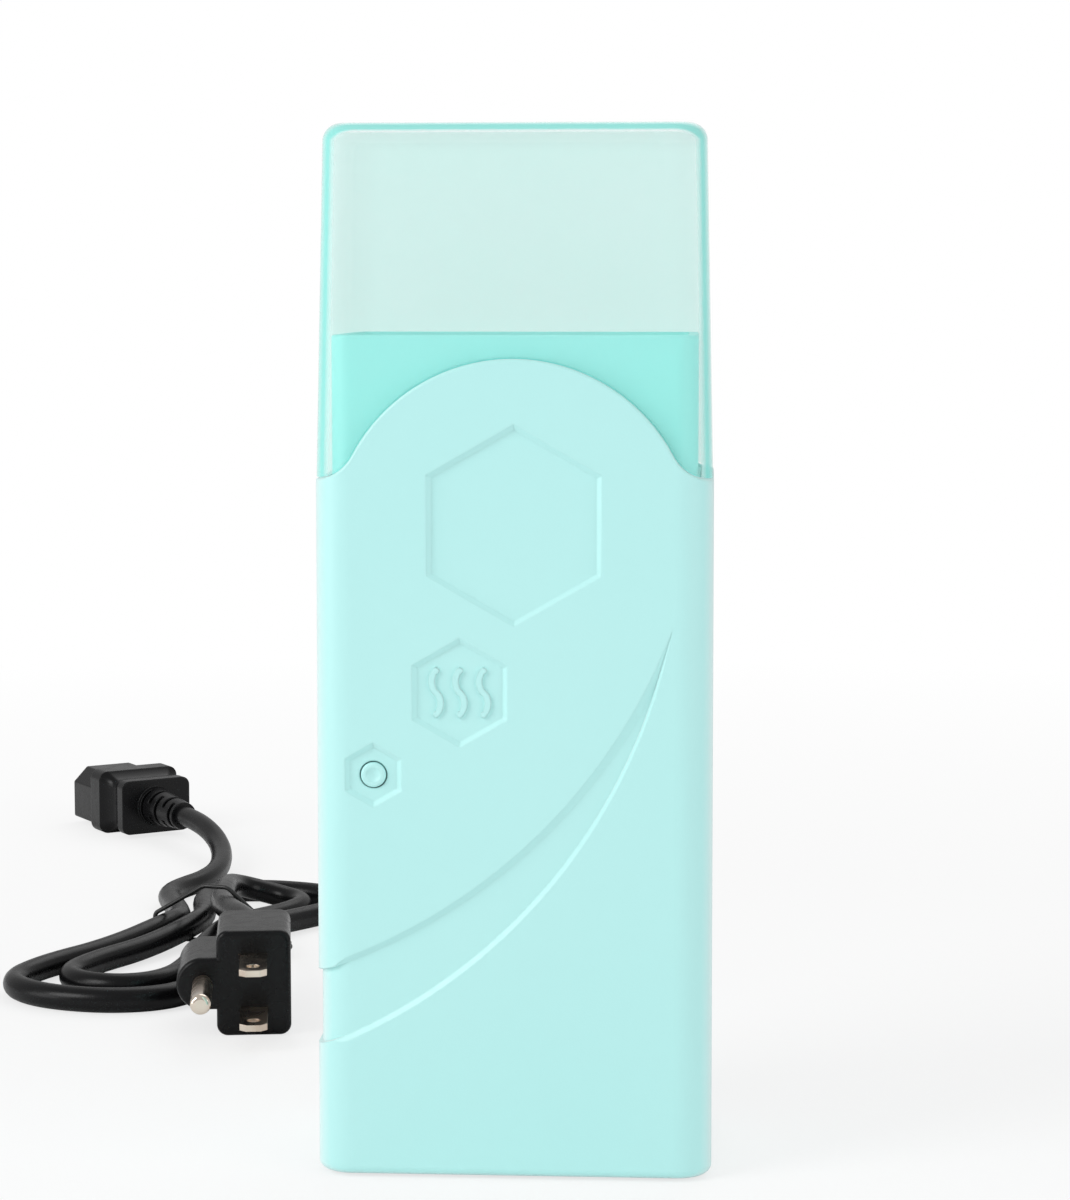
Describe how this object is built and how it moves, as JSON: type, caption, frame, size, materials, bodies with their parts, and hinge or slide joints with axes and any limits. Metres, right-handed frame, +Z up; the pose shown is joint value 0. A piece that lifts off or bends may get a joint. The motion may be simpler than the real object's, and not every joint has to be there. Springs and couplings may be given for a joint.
{
  "type": "roll-on wax warmer",
  "caption": "Upright roll-on wax warmer: mint case with hexagon relief, translucent lift-off cap over a heated cartridge well, push-button, and a loose mains lead.",
  "frame": {"origin": "centre of the warmer's base, on the table", "axes": "+Z up, the front with the hexagons and the button faces -Y, +X to the right seen from the front"},
  "size_m": [0.2083, 0.4003, 0.206],
  "materials": {
    "mint_plastic": "satin moulded plastic",
    "clear_cap": "translucent tinted plastic",
    "collar_plastic": "satin moulded plastic",
    "silicone": "matt silicone",
    "sleeve_aluminium": "plain",
    "heater_film": "amber film",
    "spring_steel": "plain",
    "screw_steel": "zinc plated",
    "black_plastic": "moulded",
    "fuse_metal": "plain can",
    "button_plastic": "satin moulded plastic",
    "board_laminate": "solder resist",
    "lamp_plastic": "tinted lens",
    "nickel_plate": "nickel plated",
    "contact_brass": "plain",
    "live_insulation": "insulation",
    "neutral_insulation": "insulation",
    "earth_insulation": "insulation",
    "heater_insulation": "silicone insulation",
    "cord_pvc": "moulded vinyl",
    "tie_plastic": "coated wire",
    "blade_nickel": "nickel plated",
    "foot_rubber": "matt"
  },
  "bodies": {
    "case": {"front_shell": "mint_plastic", "rear_shell": "mint_plastic", "cartridge_collar": "collar_plastic", "mouth_bezel": "collar_plastic", "sleeve_gasket": "silicone", "heat_sleeve": "sleeve_aluminium", "ptc_heater": "sleeve_aluminium", "heater_film": "heater_film", "heater_strap": "spring_steel", "cutoff_strap": "spring_steel", "strap_screws": "screw_steel", "board_screws": "screw_steel", "case_screws": "screw_steel", "thermostat": "black_plastic", "tact_switch": "black_plastic", "board_parts": "black_plastic", "inlet_body": "black_plastic", "thermal_fuse": "fuse_metal", "control_board": "board_laminate", "indicator_led": "lamp_plastic", "inlet_pins": "nickel_plate", "spade_terminals": "nickel_plate", "connector_contacts": "contact_brass", "live_wire": "live_insulation", "neutral_wire": "neutral_insulation", "earth_wire": "earth_insulation", "heater_lead": "heater_insulation", "heater_links": "heater_insulation", "cord_connector": "cord_pvc", "cord_lead": "cord_pvc", "cord_hank": "cord_pvc", "cord_tail": "cord_pvc", "plug_body": "cord_pvc", "cord_tie": "tie_plastic", "plug_blades": "blade_nickel", "ground_pin": "blade_nickel", "rubber_feet": "foot_rubber"},
    "cap": {"cap": "clear_cap"},
    "button": {"power_button": "button_plastic", "switch_plunger": "black_plastic"}
  },
  "joints": [
    {"name": "cap_lift", "type": "slide", "parent": "case", "child": "cap", "axis": [0, 0, 1], "range_m": [0, 0.06]},
    {"name": "button_press", "type": "slide", "parent": "case", "child": "button", "axis": [0, 1, 0], "range_m": [0, 0.0006], "stiffness_N_per_m": 2000}
  ]
}
